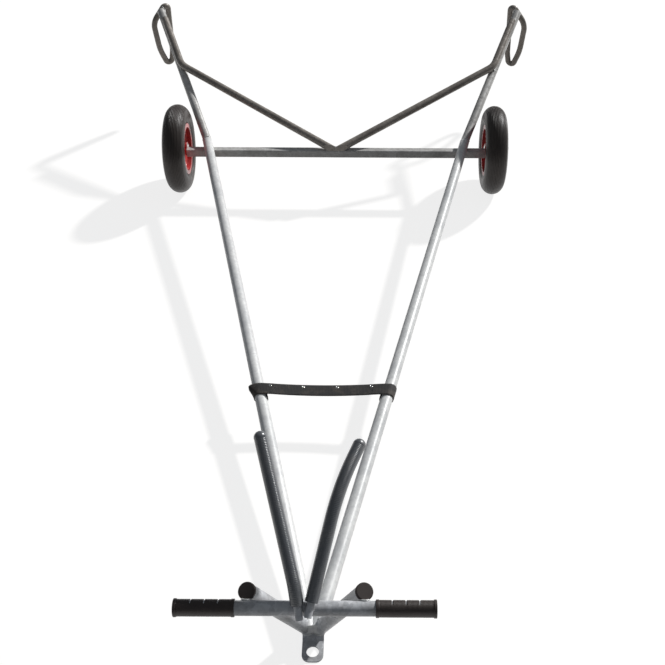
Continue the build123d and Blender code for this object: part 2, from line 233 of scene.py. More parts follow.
print("group", spangle.name)

# %% Fine grain
grain, start, end = new_group(
    "Fine grain", [("Place", VECTOR, None), ("Size", FLOAT, 1400.0)], ["Height"]
)
speckle = add_node(grain, "ShaderNodeTexNoise", {"Detail": 4.0, "Roughness": 0.7})
link(grain, start["Place"], speckle.inputs["Vector"])
link(grain, start["Size"], speckle.inputs["Scale"])
link(grain, speckle.outputs["Fac"], end["Height"])
print("group", grain.name)

# %% Edge wear
edge_wear, start, end = new_group(
    "Edge wear", [("Place", VECTOR, None), ("Reach", FLOAT, 0.002), ("Gain", FLOAT, 6.0)], ["Mask"]
)
rounded = add_node(edge_wear, "ShaderNodeBevel", samples=4)
link(edge_wear, start["Reach"], rounded.inputs["Radius"])
true_normal = add_node(edge_wear, "ShaderNodeNewGeometry")
lean = add_node(edge_wear, "ShaderNodeVectorMath", operation="DOT_PRODUCT")
link(edge_wear, rounded.outputs["Normal"], lean.inputs[0])
link(edge_wear, true_normal.outputs["Normal"], lean.inputs[1])
away = add_node(edge_wear, "ShaderNodeMath", operation="SUBTRACT", use_clamp=True)
away.inputs[0].default_value = 1.0
link(edge_wear, lean.outputs["Value"], away.inputs[1])
ragged = add_node(edge_wear, "ShaderNodeTexNoise", {"Scale": 130.0, "Detail": 4.0})
link(edge_wear, start["Place"], ragged.inputs["Vector"])
broken = add_node(edge_wear, "ShaderNodeMath", operation="MULTIPLY")
link(edge_wear, away.outputs["Value"], broken.inputs[0])
link(edge_wear, ragged.outputs["Fac"], broken.inputs[1])
gained = add_node(edge_wear, "ShaderNodeMath", operation="MULTIPLY", use_clamp=True)
link(edge_wear, broken.outputs["Value"], gained.inputs[0])
link(edge_wear, start["Gain"], gained.inputs[1])
link(edge_wear, gained.outputs["Value"], end["Mask"])
print("group", edge_wear.name)

# %% [markdown]
# ## Metal finishes
# Hot-dip zinc is dull grey with pale and dark crystals, and stains darker where water stood. The
# spangle group gives each crystal its own tone and height, two sizes of cloudy patches lay the stains
# over them, and corners are rubbed bright. One function makes them all as lit and shaded copies of one
# zinc: the rails are painted near white for the sunlight on them, the braces and loops at the back are
# painted dark brown for the shade they stand in, and the rear arms and the beam are painted a step
# darker than the rails for their shade. Small turned parts have bright zinc plate, with no crystals.

# %% Galvanised steel
STAIN_SHARE, FRECKLE_SHARE, RUBBED_SHARE, ZINC_ROUGHNESS_SPREAD = 0.7, 0.35, 0.6, 0.14
RUBBED_ZINC = colour(0.74, 0.74, 0.72)


def galvanised(name, light, dark, stain, roughness, metal, stain_size=7.0):
    finish, tree, shader, place = new_finish(name, Metallic=metal, Specular_IOR_Level=0.35)
    crystal = use_group(tree, spangle, place, Size=85.0)
    stains = use_group(tree, patches, place, Size=stain_size, Low=0.42, High=0.72)
    freckles = use_group(tree, patches, place, Size=70.0, Low=0.5, High=0.72)
    rubbed = use_group(tree, edge_wear, place, Reach=0.0016, Gain=4.0)
    base = blend_colours(tree, crystal["Tone"], dark, light)
    base = blend_colours(tree, share_of(tree, stains["Mask"], STAIN_SHARE), base, stain)
    base = blend_colours(tree, share_of(tree, freckles["Mask"], FRECKLE_SHARE), base, stain)
    base = blend_colours(tree, share_of(tree, rubbed["Mask"], RUBBED_SHARE), base, RUBBED_ZINC)
    link(tree, base, shader.inputs["Base Color"])
    gloss = span(tree, crystal["Tone"], 0.0, 1.0, roughness, roughness + ZINC_ROUGHNESS_SPREAD)
    link(tree, gloss, shader.inputs["Roughness"])
    relief = sum_of(tree, crystal["Height"], freckles["Mask"])
    bump(tree, relief, shader, strength=0.14, distance=0.0006)
    return finish


# Painted sunlight: the rails' near-white tone stands for the sun on them
rail_zinc = galvanised(
    "rail zinc", colour(0.90, 0.90, 0.88), colour(0.78, 0.78, 0.77), colour(0.54, 0.55, 0.56),
    roughness=0.36, metal=0.05,
)
# Painted shade: the rear arms and the beam are the same zinc in a darker tone for the shade on them
arm_zinc = galvanised(
    "rear arm zinc", colour(0.70, 0.685, 0.66), colour(0.54, 0.525, 0.50), colour(0.26, 0.25, 0.235),
    roughness=0.30, metal=0.05,
)
beam_zinc = galvanised(
    "beam zinc", colour(0.66, 0.65, 0.63), colour(0.52, 0.51, 0.49), colour(0.30, 0.29, 0.275),
    roughness=0.42, metal=0.0,
)
# Painted shade: the braces and loops stand against the sun, so this zinc is painted dark brown all over;
# only its stains are real
shade_darkened_zinc = galvanised(
    "shade darkened zinc", colour(0.40, 0.36, 0.32), colour(0.29, 0.26, 0.23), colour(0.16, 0.14, 0.12),
    roughness=0.26, metal=0.08,
)
handle_zinc = galvanised(
    "handle zinc", colour(0.70, 0.71, 0.73), colour(0.52, 0.53, 0.55), colour(0.25, 0.245, 0.24),
    roughness=0.34, metal=0.04, stain_size=14.0,
)
bead_zinc = galvanised(
    "bead zinc", colour(0.88, 0.88, 0.86), colour(0.66, 0.66, 0.65), colour(0.40, 0.39, 0.38),
    roughness=0.24, metal=0.3, stain_size=40.0,
)
zincs = [rail_zinc, arm_zinc, beam_zinc, shade_darkened_zinc, handle_zinc, bead_zinc]
print("galvanised finishes", [zinc.name for zinc in zincs])

# %% Bright zinc plate
plated_zinc, tree, shader, place = new_finish("plated zinc", Metallic=0.85)
turned = use_group(tree, grain, place, Size=900.0)
dull = use_group(tree, patches, place, Size=60.0, Low=0.45, High=0.7)
rubbed = use_group(tree, edge_wear, place, Reach=0.0008, Gain=5.0)
base = blend_colours(tree, dull["Mask"], colour(0.78, 0.77, 0.74), colour(0.50, 0.47, 0.42))
base = blend_colours(tree, rubbed["Mask"], base, colour(0.90, 0.90, 0.88))
link(tree, base, shader.inputs["Base Color"])
link(tree, span(tree, turned["Height"], 0.3, 0.7, 0.22, 0.38), shader.inputs["Roughness"])
bump(tree, turned["Height"], shader, strength=0.08, distance=0.0003)
print("finish", plated_zinc.name)

# %% [markdown]
# ## Rubber, plastic, paint and webbing
# The tyres and grips are black rubber, greyed by dust and sun. The sleeves are a dark, glossier
# plastic. The rims are red enamel with scuffs, worn to primer along their edges. The strap is woven
# polyester, so its weave is two crossed wave patterns that run along and across the belt.

# %% Rubber finishes
RUBBER_ROUGHNESS_SPREAD, RUBBED_RUBBER = 0.2, colour(0.09, 0.082, 0.075)


def rubber(name, base, dusty, roughness, dust_size, dust_high, grain_size, shine=0.5, worn_share=0.5):
    finish, tree, shader, place = new_finish(name, Specular_IOR_Level=shine)
    dust = use_group(tree, patches, place, Size=dust_size, Low=0.42, High=dust_high)
    pores = use_group(tree, grain, place, Size=grain_size)
    rubbed = use_group(tree, edge_wear, place, Reach=0.0015, Gain=3.0)
    tint = blend_colours(tree, dust["Mask"], base, dusty)
    worn = share_of(tree, rubbed["Mask"], worn_share)
    link(tree, blend_colours(tree, worn, tint, RUBBED_RUBBER), shader.inputs["Base Color"])
    gloss = span(tree, dust["Mask"], 0.0, 1.0, roughness, roughness + RUBBER_ROUGHNESS_SPREAD)
    link(tree, gloss, shader.inputs["Roughness"])
    bump(tree, pores["Height"], shader, strength=0.25, distance=0.0004)
    return finish


tyre_rubber = rubber(
    "tyre rubber", colour(0.046, 0.036, 0.031), colour(0.066, 0.054, 0.047),
    roughness=0.40, dust_size=14.0, dust_high=0.95, grain_size=1500.0, worn_share=0.1,
)
grip_rubber = rubber(
    "grip rubber", colour(0.040, 0.029, 0.025), colour(0.060, 0.047, 0.042),
    roughness=0.5, dust_size=22.0, dust_high=0.8, grain_size=2200.0,
)
cap_rubber = rubber(
    "cap rubber", colour(0.040, 0.029, 0.025), colour(0.056, 0.045, 0.040),
    roughness=0.6, dust_size=30.0, dust_high=0.8, grain_size=1800.0,
)
sleeve_plastic = rubber(
    "sleeve plastic", colour(0.105, 0.112, 0.122), colour(0.15, 0.148, 0.148),
    roughness=0.30, dust_size=16.0, dust_high=0.85, grain_size=900.0, shine=1.0,
)
rubbers = [tyre_rubber, grip_rubber, cap_rubber, sleeve_plastic]
print("rubber and plastic finishes", [finish.name for finish in rubbers])

# %% Red enamel
red_enamel, tree, shader, place = new_finish("red enamel", Coat_Weight=0.25, Coat_Roughness=0.2)
scuffs = use_group(tree, patches, place, Size=34.0, Low=0.52, High=0.68)
grime = use_group(tree, patches, place, Size=12.0, Low=0.45, High=0.75)
chipped = use_group(tree, edge_wear, place, Reach=0.0018, Gain=5.0)
orange_peel = use_group(tree, grain, place, Size=300.0)
paint = blend_colours(tree, grime["Mask"], colour(0.62, 0.060, 0.060), colour(0.36, 0.030, 0.028))
paint = blend_colours(tree, share_of(tree, scuffs["Mask"], 0.5), paint, colour(0.64, 0.13, 0.12))
paint = blend_colours(tree, chipped["Mask"], paint, colour(0.20, 0.15, 0.14))
link(tree, paint, shader.inputs["Base Color"])
link(tree, span(tree, grime["Mask"], 0.0, 1.0, 0.3, 0.55), shader.inputs["Roughness"])
bump(tree, orange_peel["Height"], shader, strength=0.1, distance=0.0005)
print("finish", red_enamel.name)

# %% Strap webbing
strap_webbing, tree, shader, place = new_finish(
    "strap webbing", Roughness=0.72, Sheen_Weight=0.25, Sheen_Roughness=0.4
)
yarns = []
for across, scale in (("X", 62.0), ("Y", 105.0)):
    wave = add_node(
        tree, "ShaderNodeTexWave", {"Scale": scale, "Distortion": 0.6, "Detail": 1.0}, bands_direction=across
    )
    link(tree, place, wave.inputs["Vector"])
    yarns.append(wave.outputs["Fac"])
weave = add_node(tree, "ShaderNodeMath", operation="MULTIPLY")
link(tree, yarns[0], weave.inputs[0])
link(tree, yarns[1], weave.inputs[1])
faded = use_group(tree, patches, place, Size=26.0, Low=0.44, High=0.68)
fuzz = use_group(tree, edge_wear, place, Reach=0.0015, Gain=4.0)
yarn = blend_colours(tree, weave.outputs["Value"], colour(0.017, 0.016, 0.016), colour(0.040, 0.037, 0.035))
yarn = blend_colours(tree, share_of(tree, faded["Mask"], 0.6), yarn, colour(0.095, 0.075, 0.060))
yarn = blend_colours(tree, fuzz["Mask"], yarn, colour(0.12, 0.105, 0.09))
link(tree, yarn, shader.inputs["Base Color"])
bump(tree, weave.outputs["Value"], shader, strength=0.6, distance=0.0006)
print("finish", strap_webbing.name)

# %% Thread and eyelets
strap_thread, tree, shader, place = new_finish("strap thread", Roughness=0.6)
twist = add_node(tree, "ShaderNodeTexWave", {"Scale": 420.0}, bands_direction="DIAGONAL")
link(tree, place, twist.inputs["Vector"])
strand = blend_colours(tree, twist.outputs["Fac"], colour(0.05, 0.047, 0.043), colour(0.13, 0.12, 0.11))
link(tree, strand, shader.inputs["Base Color"])
bump(tree, twist.outputs["Fac"], shader, strength=0.4, distance=0.0002)
eyelet_nickel, tree, shader, place = new_finish("eyelet nickel", Metallic=1.0)
tarnish = use_group(tree, patches, place, Size=160.0, Low=0.4, High=0.7)
plate = blend_colours(tree, tarnish["Mask"], colour(0.85, 0.84, 0.80), colour(0.46, 0.42, 0.37))
link(tree, plate, shader.inputs["Base Color"])
link(tree, span(tree, tarnish["Mask"], 0.0, 1.0, 0.18, 0.4), shader.inputs["Roughness"])
print("finishes", strap_thread.name, eyelet_nickel.name)

# %% [markdown]
# ## Finishes on the CAD pieces
# A CAD piece whose shape is right keeps its mesh and only gets its finish, set in its material slot.

# %% Dress the CAD pieces
NODE_FINISHES = [
    (rail_zinc, ["side_rail"]),
    (arm_zinc, ["rear_arm"]),
    (beam_zinc, ["axle_beam"]),
    (shade_darkened_zinc, ["rear_brace", "gunwale_loop"]),
    (handle_zinc, ["handle_arm", "handle_bar", "bow_post", "tow_eye_plate"]),
    (plated_zinc, ["axle_stub", "inner_washer", "outer_washer", "wheel_pin"]),
    (red_enamel, ["rim", "hub"]),
    (cap_rubber, ["arm_cap"]),
]
for finish, names in NODE_FINISHES:
    for node_name, node in nodes.items():
        if node_name.removesuffix("_left").removesuffix("_right") in names:
            node.data.materials.clear()
            node.data.materials.append(finish)
    print(finish.name, names)

# %% [markdown]
# ## Mesh helpers
# Most pieces here are a ring turned about the wheel's axis or a round section swept along a path.
# Writing the rows of points directly gives full control of grooves, ribs and ripples, and leaves
# clean quads. Each helper returns points and faces, and make_piece turns them into an object that
# rides on its body.

# %% Making a piece
def make_piece(name, points, faces, finish, body, slot):
    mesh = bpy.data.meshes.new(name)
    mesh.from_pydata([tuple(p) for p in points], [], faces)
    mesh.validate()
    mesh.polygons.foreach_set("use_smooth", [True] * len(mesh.polygons))
    mesh.materials.append(finish)
    mesh.update()
    piece = bpy.data.objects.new(name, mesh)
    bpy.context.scene.collection.objects.link(piece)
    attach(piece, body)
    return piece


def mirrored(points):
    return [Vector((-p.x, p.y, p.z)) for p in points]


def joined(parts):
    points, faces = [], []
    for part_points, part_faces in parts:
        first = len(points)
        points += part_points
        faces += [tuple(first + i for i in face) for face in part_faces]
    return points, faces


def with_mirror(parts):
    return parts + [(mirrored(points), [tuple(reversed(f)) for f in faces]) for points, faces in parts]


print("piece helpers ready")

# %% Rings and tubes
def grid_faces(rows, columns, close_rows, close_columns):
    faces = []
    for i in range(rows if close_rows else rows - 1):
        for j in range(columns if close_columns else columns - 1):
            a, b = i * columns + j, i * columns + (j + 1) % columns
            below = ((i + 1) % rows) * columns
            faces.append((a, b, below + (j + 1) % columns, below + j))
    return faces


def turned_ring(profile, centre, segments):
    points = []
    for step in range(segments):
        angle = 2 * math.pi * step / segments
        for x, radius in profile:
            points.append(centre + Vector((x, -radius * math.sin(angle), radius * math.cos(angle))))
    return points, grid_faces(segments, len(profile), True, True)


def swept_tube(path, radii, segments, closed=False):
    count = len(path)
    points, sideways = [], None
    for i, place in enumerate(path):
        ahead = path[(i + 1) % count] if closed or i < count - 1 else place
        behind = path[i - 1] if closed or i > 0 else place
        way = (ahead - behind).normalized()
        if sideways is None:
            sideways = way.orthogonal().normalized()
        sideways = (sideways - way * sideways.dot(way)).normalized()
        other = way.cross(sideways)
        for k in range(segments):
            angle = 2 * math.pi * k / segments
            points.append(place + (sideways * math.cos(angle) + other * math.sin(angle)) * radii[i])
    faces = grid_faces(count, segments, closed, True)
    if not closed:
        faces.append(tuple(reversed(range(segments))))
        faces.append(tuple(range((count - 1) * segments, count * segments)))
    return points, faces


print("ring and tube helpers ready")

# %% Paths
def evened(path, step):
    lengths = [0.0]
    for a, b in zip(path, path[1:]):
        lengths.append(lengths[-1] + (b - a).length)
    count = max(2, round(lengths[-1] / step))
    points, k = [], 0
    for i in range(count + 1):
        want = lengths[-1] * i / count
        while k < len(lengths) - 2 and lengths[k + 1] < want:
            k += 1
        share = (want - lengths[k]) / max(lengths[k + 1] - lengths[k], 1e-9)
        points.append(path[k].lerp(path[k + 1], min(1.0, share)))
    return points


def rounded_path(begin, corner, finish_at, radius, step):
    to_before, to_after = (begin - corner).normalized(), (finish_at - corner).normalized()
    half = to_before.angle(to_after) / 2
    reach = radius / math.tan(half)
    centre = corner + (to_before + to_after).normalized() * (radius / math.sin(half))
    arm_a, arm_b = corner + to_before * reach - centre, corner + to_after * reach - centre
    turn = arm_a.angle(arm_b)
    count = max(2, round(turn * radius / step))
    path = [begin]
    for k in range(count + 1):
        share = k / count
        spoke = (arm_a * math.sin((1 - share) * turn) + arm_b * math.sin(share * turn)) / math.sin(turn)
        path.append(centre + spoke)
    return evened(path + [finish_at], step)


print("path helpers ready")

# %% [markdown]
# ## Grooved tyres
# The tyres are fat balloon tyres with fine grooves running round them. They could be a texture, but
# the grooves catch the light along the crown, so they are cut into the turned profile itself.

# %% Tyre profile
TYRE_R, TREAD_HALF, SHOULDER_R = 0.200, 0.036, 0.1845
HALF_WIDTH, BULGE_R, LIP_R, TYRE_BEAD_R, TYRE_BEAD_HALF = 0.050, 0.1535, 0.1168, 0.1019, 0.035
GROOVES_A_SIDE, GROOVE_PITCH, GROOVE_DEPTH, GROOVE_HALF = 7, 0.0069, 0.0020, 0.0018
WALL_RINGS, WALL_RING_LOW, WALL_RING_HIGH, WALL_RING_HEIGHT = 2, 0.119, 0.137, 0.0010
LIP_TUCK, LIP_DROP, CROWN_STEPS, WALL_STEPS, TYRE_SEGMENTS = 0.002, 0.003, 84, 90, 144


def arc_through(a, b, c, count):
    ax, ay, bx, by, cx, cy = *a, *b, *c
    d = 2 * (ax * (by - cy) + bx * (cy - ay) + cx * (ay - by))
    sa, sb, sc = ax**2 + ay**2, bx**2 + by**2, cx**2 + cy**2
    ux = (sa * (by - cy) + sb * (cy - ay) + sc * (ay - by)) / d
    uy = (sa * (cx - bx) + sb * (ax - cx) + sc * (bx - ax)) / d
    first, last = math.atan2(ay - uy, ax - ux), math.atan2(cy - uy, cx - ux)
    turn = (last - first + math.pi) % (2 * math.pi) - math.pi
    radius = math.hypot(ax - ux, ay - uy)
    angles = [first + turn * k / count for k in range(count + 1)]
    return [(ux + radius * math.cos(t), uy + radius * math.sin(t)) for t in angles]


def tyre_profile():
    drop = TYRE_R - SHOULDER_R
    crown_r = (TREAD_HALF**2 + drop**2) / (2 * drop)
    middle_r = TYRE_R - crown_r + math.sqrt(crown_r**2 - (TREAD_HALF / 2) ** 2)
    shoulder, lip = (TREAD_HALF, SHOULDER_R), (TYRE_BEAD_HALF, LIP_R)
    crown = arc_through((0.0, TYRE_R), (TREAD_HALF / 2, middle_r), shoulder, CROWN_STEPS)
    wall = arc_through(shoulder, (HALF_WIDTH, BULGE_R), lip, WALL_STEPS)
    half, travelled = [], 0.0
    line = crown + wall[1:]
    for i, (x, r) in enumerate(line):
        before, after = line[max(i - 1, 0)], line[min(i + 1, len(line) - 1)]
        travelled += math.dist(line[i - 1], line[i]) if i else 0.0
        tx, tr = after[0] - before[0], after[1] - before[1]
        length = math.hypot(tx, tr)
        nearest = (round(travelled / GROOVE_PITCH - 0.5) + 0.5) * GROOVE_PITCH
        depth = 0.0
        if nearest < GROOVES_A_SIDE * GROOVE_PITCH:
            depth = GROOVE_DEPTH * max(0.0, 1 - (abs(travelled - nearest) / GROOVE_HALF) ** 2)
        if WALL_RING_LOW < r < WALL_RING_HIGH and i > len(crown):
            share = (r - WALL_RING_LOW) / (WALL_RING_HIGH - WALL_RING_LOW)
            depth -= WALL_RING_HEIGHT * max(0.0, math.sin(share * math.pi * 2 * WALL_RINGS))
        half.append((x + tr / length * depth, r - tx / length * depth))
    inner_x = TYRE_BEAD_HALF - LIP_TUCK
    half += [(inner_x, LIP_R - LIP_DROP), (inner_x, TYRE_BEAD_R)]
    return half + [(-x, r) for x, r in reversed(half[1:])]


print("tyre profile", len(tyre_profile()), "points")

# %% Tyres
for side_name in ("left", "right"):
    points, faces = turned_ring(tyre_profile(), wheel_joints["wheel_" + side_name], TYRE_SEGMENTS)
    tyre = make_piece(
        "grooved_tyre_" + side_name, points, faces, tyre_rubber, "wheel_" + side_name, "tyre_rubber"
    )
    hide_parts("tyre_" + side_name)
    print(tyre.name, len(faces), "faces")

# %% [markdown]
# ## Wheel fittings
# A pressed steel wheel has a raised ring on its disc that stiffens it, a circle of bolts that holds
# its two halves, and a valve stem through the rim. They are small, so the CAD leaves them out; here
# they lie on the disc faces, and they ride on the wheel, so they turn with it.

# %% Pressed ring
DISC_FACE, RING_MIDDLE, RING_HALF, RING_RISE = 0.0025, 0.058, 0.011, 0.0035
RING_STEPS, RING_SEGMENTS, RING_SUNK = 12, 96, 0.6


def pressed_ring(centre, outward):
    profile = []
    for k in range(RING_STEPS + 1):
        share = k / RING_STEPS
        rise = RING_RISE * math.sin(share * math.pi) ** 2
        profile.append((outward * (DISC_FACE + rise), RING_MIDDLE + RING_HALF * (2 * share - 1)))
    back = outward * DISC_FACE * RING_SUNK
    profile += [(back, RING_MIDDLE + RING_HALF), (back, RING_MIDDLE - RING_HALF)]
    return turned_ring(profile if outward > 0 else profile[::-1], centre, RING_SEGMENTS)


print("pressed ring rises", RING_RISE, "m")

# %% Bolt
BOLTS, FIRST_BOLT, BOLT_CIRCLE, BOLT_R, BOLT_RISE, BOLT_STEPS = 5, 0.35, 0.038, 0.0055, 0.0045, 18
# Each pair is a height over the disc and a share of the bolt's radius: a washer, the head, its top
BOLT_SHAPE = ((0.0, 1.3), (0.0010, 1.3), (0.0011, 1.0), (0.0038, 1.0), (BOLT_RISE, 0.86))


def hex_bolt(centre, outward, angle):
    place = centre + Vector((0, -BOLT_CIRCLE * math.sin(angle), BOLT_CIRCLE * math.cos(angle)))
    points = []
    for height, scale in BOLT_SHAPE:
        level = outward * (DISC_FACE + height)
        for k in range(BOLT_STEPS):
            turn = 2 * math.pi * k / BOLT_STEPS
            flat = math.cos(math.pi / 6) / math.cos((turn % (math.pi / 3)) - math.pi / 6)
            radius = BOLT_R * scale * (flat if scale <= 1.0 else 1.0)
            points.append(place + Vector((level, radius * math.cos(turn), radius * math.sin(turn))))
    faces = grid_faces(len(BOLT_SHAPE), BOLT_STEPS, False, True)
    faces.append(tuple(range(len(points) - BOLT_STEPS, len(points))))
    faces.append(tuple(reversed(range(BOLT_STEPS))))
    return points, faces if outward < 0 else [tuple(reversed(f)) for f in faces]


print("bolts on each face", BOLTS)

# %% Valve
VALVE_OUT, VALVE_DOWN, VALVE_WAY, VALVE_LENGTH, VALVE_R = 0.009, 0.080, (0.9, 0, 0.42), 0.030, 0.0031
VALVE_STEPS, VALVE_BOOT_STEPS, VALVE_SEGMENTS = 15, 6, 16
# These are shares of the valve's radius: its rubber boot, its thread's root and crests, and its tip
VALVE_BOOT, VALVE_THREAD, VALVE_THREAD_RISE, VALVE_TIP = 1.35, 0.85, 0.12, 0.6


def valve_stem(centre, outward):
    foot = centre + Vector((outward * VALVE_OUT, 0, -VALVE_DOWN))
    way = Vector((outward * VALVE_WAY[0], VALVE_WAY[1], VALVE_WAY[2])).normalized()
    path = [foot + way * (VALVE_LENGTH * k / VALVE_STEPS) for k in range(VALVE_STEPS + 1)]
    shares = [VALVE_BOOT] * VALVE_BOOT_STEPS
    shares += [VALVE_THREAD + VALVE_THREAD_RISE * (k % 2) for k in range(VALVE_BOOT_STEPS, VALVE_STEPS)]
    return swept_tube(path, [VALVE_R * share for share in shares + [VALVE_TIP]], VALVE_SEGMENTS)


print("valve", VALVE_LENGTH, "m long")

# %% Wheel fittings
for side_name, outside in (("left", -1), ("right", 1)):
    body = "wheel_" + side_name
    hub_centre = wheel_joints[body]
    rings = joined([pressed_ring(hub_centre, 1), pressed_ring(hub_centre, -1)])
    make_piece("pressed_rings_" + side_name, *rings, red_enamel, body, "red_paint")
    spots = [2 * math.pi * (k + FIRST_BOLT) / BOLTS for k in range(BOLTS)]
    bolts = joined([hex_bolt(hub_centre, out, spot) for out in (1, -1) for spot in spots])
    make_piece("wheel_bolts_" + side_name, *bolts, plated_zinc, body, "zinc_plate")
    make_piece("valve_stem_" + side_name, *valve_stem(hub_centre, outside), cap_rubber, body, "black_rubber")
    print(body, "bolts", 2 * BOLTS)

# %% [markdown]
# ## Ribbed sleeves
# Each bow post wears a plastic sleeve with fine ribs round it, like hose. The sleeve follows its
# post, so its path repeats the post's foot, knee and top. Its radius rises and falls along it for the
# ribs, and closes in a dome at the end. The two posts are bent differently, so each has its own row.

# %% Sleeves
SLEEVE_R, SLEEVE_START, SLEEVE_TIP_R, SLEEVE_SEGMENTS = 0.017, 0.038, 0.0015, 40
RIB_PITCH, RIB_DEPTH, RIB_STEPS = 0.0042, 0.0008, 4
BAR_PLACE = Vector((0, -2.6885 + axle_y, 0.3974))
# Columns are side, then foot, knee and top measured from the middle of the handle bar, bend radius, and
# how far the sleeve goes past the top
POSTS = [
    (
        "left", (-0.0125, -0.03525, 0.0020), (-0.02424, 0.0135, 0.06498), (-0.116, 0.300, 0.285),
        0.150, 0.020,
    ),
    (
        "right", (0.0077, -0.03423, 0.00868), (0.07992, 0.2001, 0.21432), (0.1307, 0.315, 0.2525),
        0.400, 0.014,
    ),
]


def make_sleeve(side_name, foot, knee, top, bend_r, past_top):
    foot, knee, top = (BAR_PLACE + Vector(p) for p in (foot, knee, top))
    begin = foot + (knee - foot).normalized() * SLEEVE_START
    finish_at = top + (top - knee).normalized() * past_top
    path = rounded_path(begin, knee, finish_at, bend_r, RIB_PITCH / RIB_STEPS)
    radii = []
    for i in range(len(path)):
        to_end = (len(path) - 1 - i) * RIB_PITCH / RIB_STEPS
        if to_end > SLEEVE_R:
            wave = 0.5 - 0.5 * math.cos(2 * math.pi * i / RIB_STEPS)
            radii.append(SLEEVE_R - RIB_DEPTH * wave)
        else:
            dome = math.sqrt(max(0.0, SLEEVE_R**2 - (SLEEVE_R - to_end) ** 2))
            radii.append(max(dome, SLEEVE_TIP_R))
    points, faces = swept_tube(path, radii, SLEEVE_SEGMENTS)
    name = "ribbed_sleeve_" + side_name
    sleeve = make_piece(name, points, faces, sleeve_plastic, "frame", "sleeve_plastic")
    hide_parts("bow_sleeve_" + side_name)
    print(name, len(path), "rows")


for post in POSTS:
    make_sleeve(*post)

# %% [markdown]
# ## Bow strap
# A webbing belt lies over both rails to carry the bow, with each end taken right round its rail and
# sewn back under itself. The sewn tail is out of sight below the belt, so it is left out. The belt is
# taut, so no cloth simulation is needed: its middle line is drawn in the plane across the rails, and
# each column of points follows the rail's own slope. The left end stands off its rail in a loose
# loop, as it does in the photograph.

# %% Strap path
STRAP_FROM_AXLE, STRAP_HALF, STRAP_THICK, STRAP_COLUMNS = 1.600, 0.025, 0.0028, 13
STRAP_DROP, STRAP_SAG, SEAM_RUN, LEFT_BULGE, RIGHT_BULGE = 0.0035, 0.006, 0.062, 0.013, 0.0
WRAP_TURN, WRAP_STEPS, BULGE_AT, SEWN_BACK = math.radians(305), 40, math.radians(25), 0.012
BELT_STEPS, SEAM_STEPS, SEAM_SHORT, LOOSE_MIDDLE, LOOSE_SLOPE = 14, 8, 0.004, 0.65, 0.9
# The rails close in and sink towards the nose, so a cut straight across the trolley makes each rail
# up to 1.03 times as wide
CROSS_CUT, RAIL_CLEAR = 1.03, 0.0008
NOSE = Vector((0.0215, -2.463 + axle_y, 0.058))
RAIL_AT_AXLE = Vector((0.5855, -0.0278 + axle_y, 0.239))
RAIL_R = 0.0212
strap_y = axle_y - STRAP_FROM_AXLE


def rail_centre_at(y):
    return NOSE.lerp(RAIL_AT_AXLE, (y - NOSE.y) / (RAIL_AT_AXLE.y - NOSE.y))


def strap_half_line(y, bulge_size):
    centre = rail_centre_at(y)
    wrap_r = RAIL_R * CROSS_CUT + RAIL_CLEAR + STRAP_THICK / 2
    top = centre.z + wrap_r
    seam_x = centre.x - SEAM_RUN
    # From the middle out: the sagging belt, its rise to the rail, and the turn round the rail
    half = []
    for k in range(BELT_STEPS + 1):
        x = seam_x * k / BELT_STEPS
        half.append(Vector((x, y, top - STRAP_DROP - STRAP_SAG * (1 - (x / seam_x) ** 2))))
    for k in range(1, SEAM_STEPS):
        x = seam_x + (centre.x - SEAM_SHORT - seam_x) * k / SEAM_STEPS
        half.append(Vector((x, y, top - STRAP_DROP * (1 - k / SEAM_STEPS) ** 2)))
    for k in range(WRAP_STEPS + 1):
        angle = math.pi / 2 - WRAP_TURN * k / WRAP_STEPS
        reach = wrap_r + bulge_size * max(0.0, math.cos(angle - BULGE_AT)) ** 4
        half.append(Vector((centre.x + reach * math.cos(angle), y, centre.z + wrap_r * math.sin(angle))))
    return half


def strap_line(y):
    back_share = (y - strap_y) / STRAP_HALF
    loose = min(1.0, max(0.0, LOOSE_MIDDLE + LOOSE_SLOPE * back_share))
    left = strap_half_line(y, LEFT_BULGE * loose)
    return mirrored(reversed(left)) + strap_half_line(y, RIGHT_BULGE)[1:]


print("strap line", len(strap_line(strap_y)), "points")

# %% Belt
YARN_RIB, SELVEDGE_FROM, SELVEDGE_BAND, SELVEDGE_THIN = 0.06, 0.8, 0.2, 0.35


def belt_mesh(columns, thickness):
    lines = [strap_line(strap_y + STRAP_HALF * (2 * c / (columns - 1) - 1)) for c in range(columns)]
    rows, outer, inner = len(lines[0]), [], []
    for r in range(rows):
        for c, line in enumerate(lines):
            way = (line[min(r + 1, rows - 1)] - line[max(r - 1, 0)]).normalized()
            out = Vector((-way.z, 0, way.x))
            edge = abs(2 * c / (columns - 1) - 1)
            rib = YARN_RIB * math.cos(c * math.pi)
            thin = SELVEDGE_THIN * max(0.0, edge - SELVEDGE_FROM) / SELVEDGE_BAND
            half = thickness / 2 * (1 + rib - thin)
            outer.append(line[r] + out * half)
            inner.append(line[r] - out * half)
    total = rows * columns
    faces = grid_faces(rows, columns, False, False)
    faces += [tuple(total + i for i in reversed(f)) for f in faces]
    for r in range(rows - 1):
        a, b = r * columns, (r + 1) * columns
        faces.append((a, b, total + b, total + a))
        a, b = a + columns - 1, b + columns - 1
        faces.append((b, a, total + a, total + b))
    for c in range(columns - 1):
        faces.append((c + 1, c, total + c, total + c + 1))
        a = (rows - 1) * columns + c
        faces.append((a, a + 1, total + a + 1, total + a))
    middle = lines[columns // 2]
    return outer + inner, faces, sum((b - a).length for a, b in zip(middle, middle[1:]))


points, faces, strap_length = belt_mesh(STRAP_COLUMNS, STRAP_THICK)
belt = make_piece("bow_belt", points, faces, strap_webbing, "frame", "strap_webbing")
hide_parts("bow_strap")
print("belt", round(strap_length, 3), "m long")

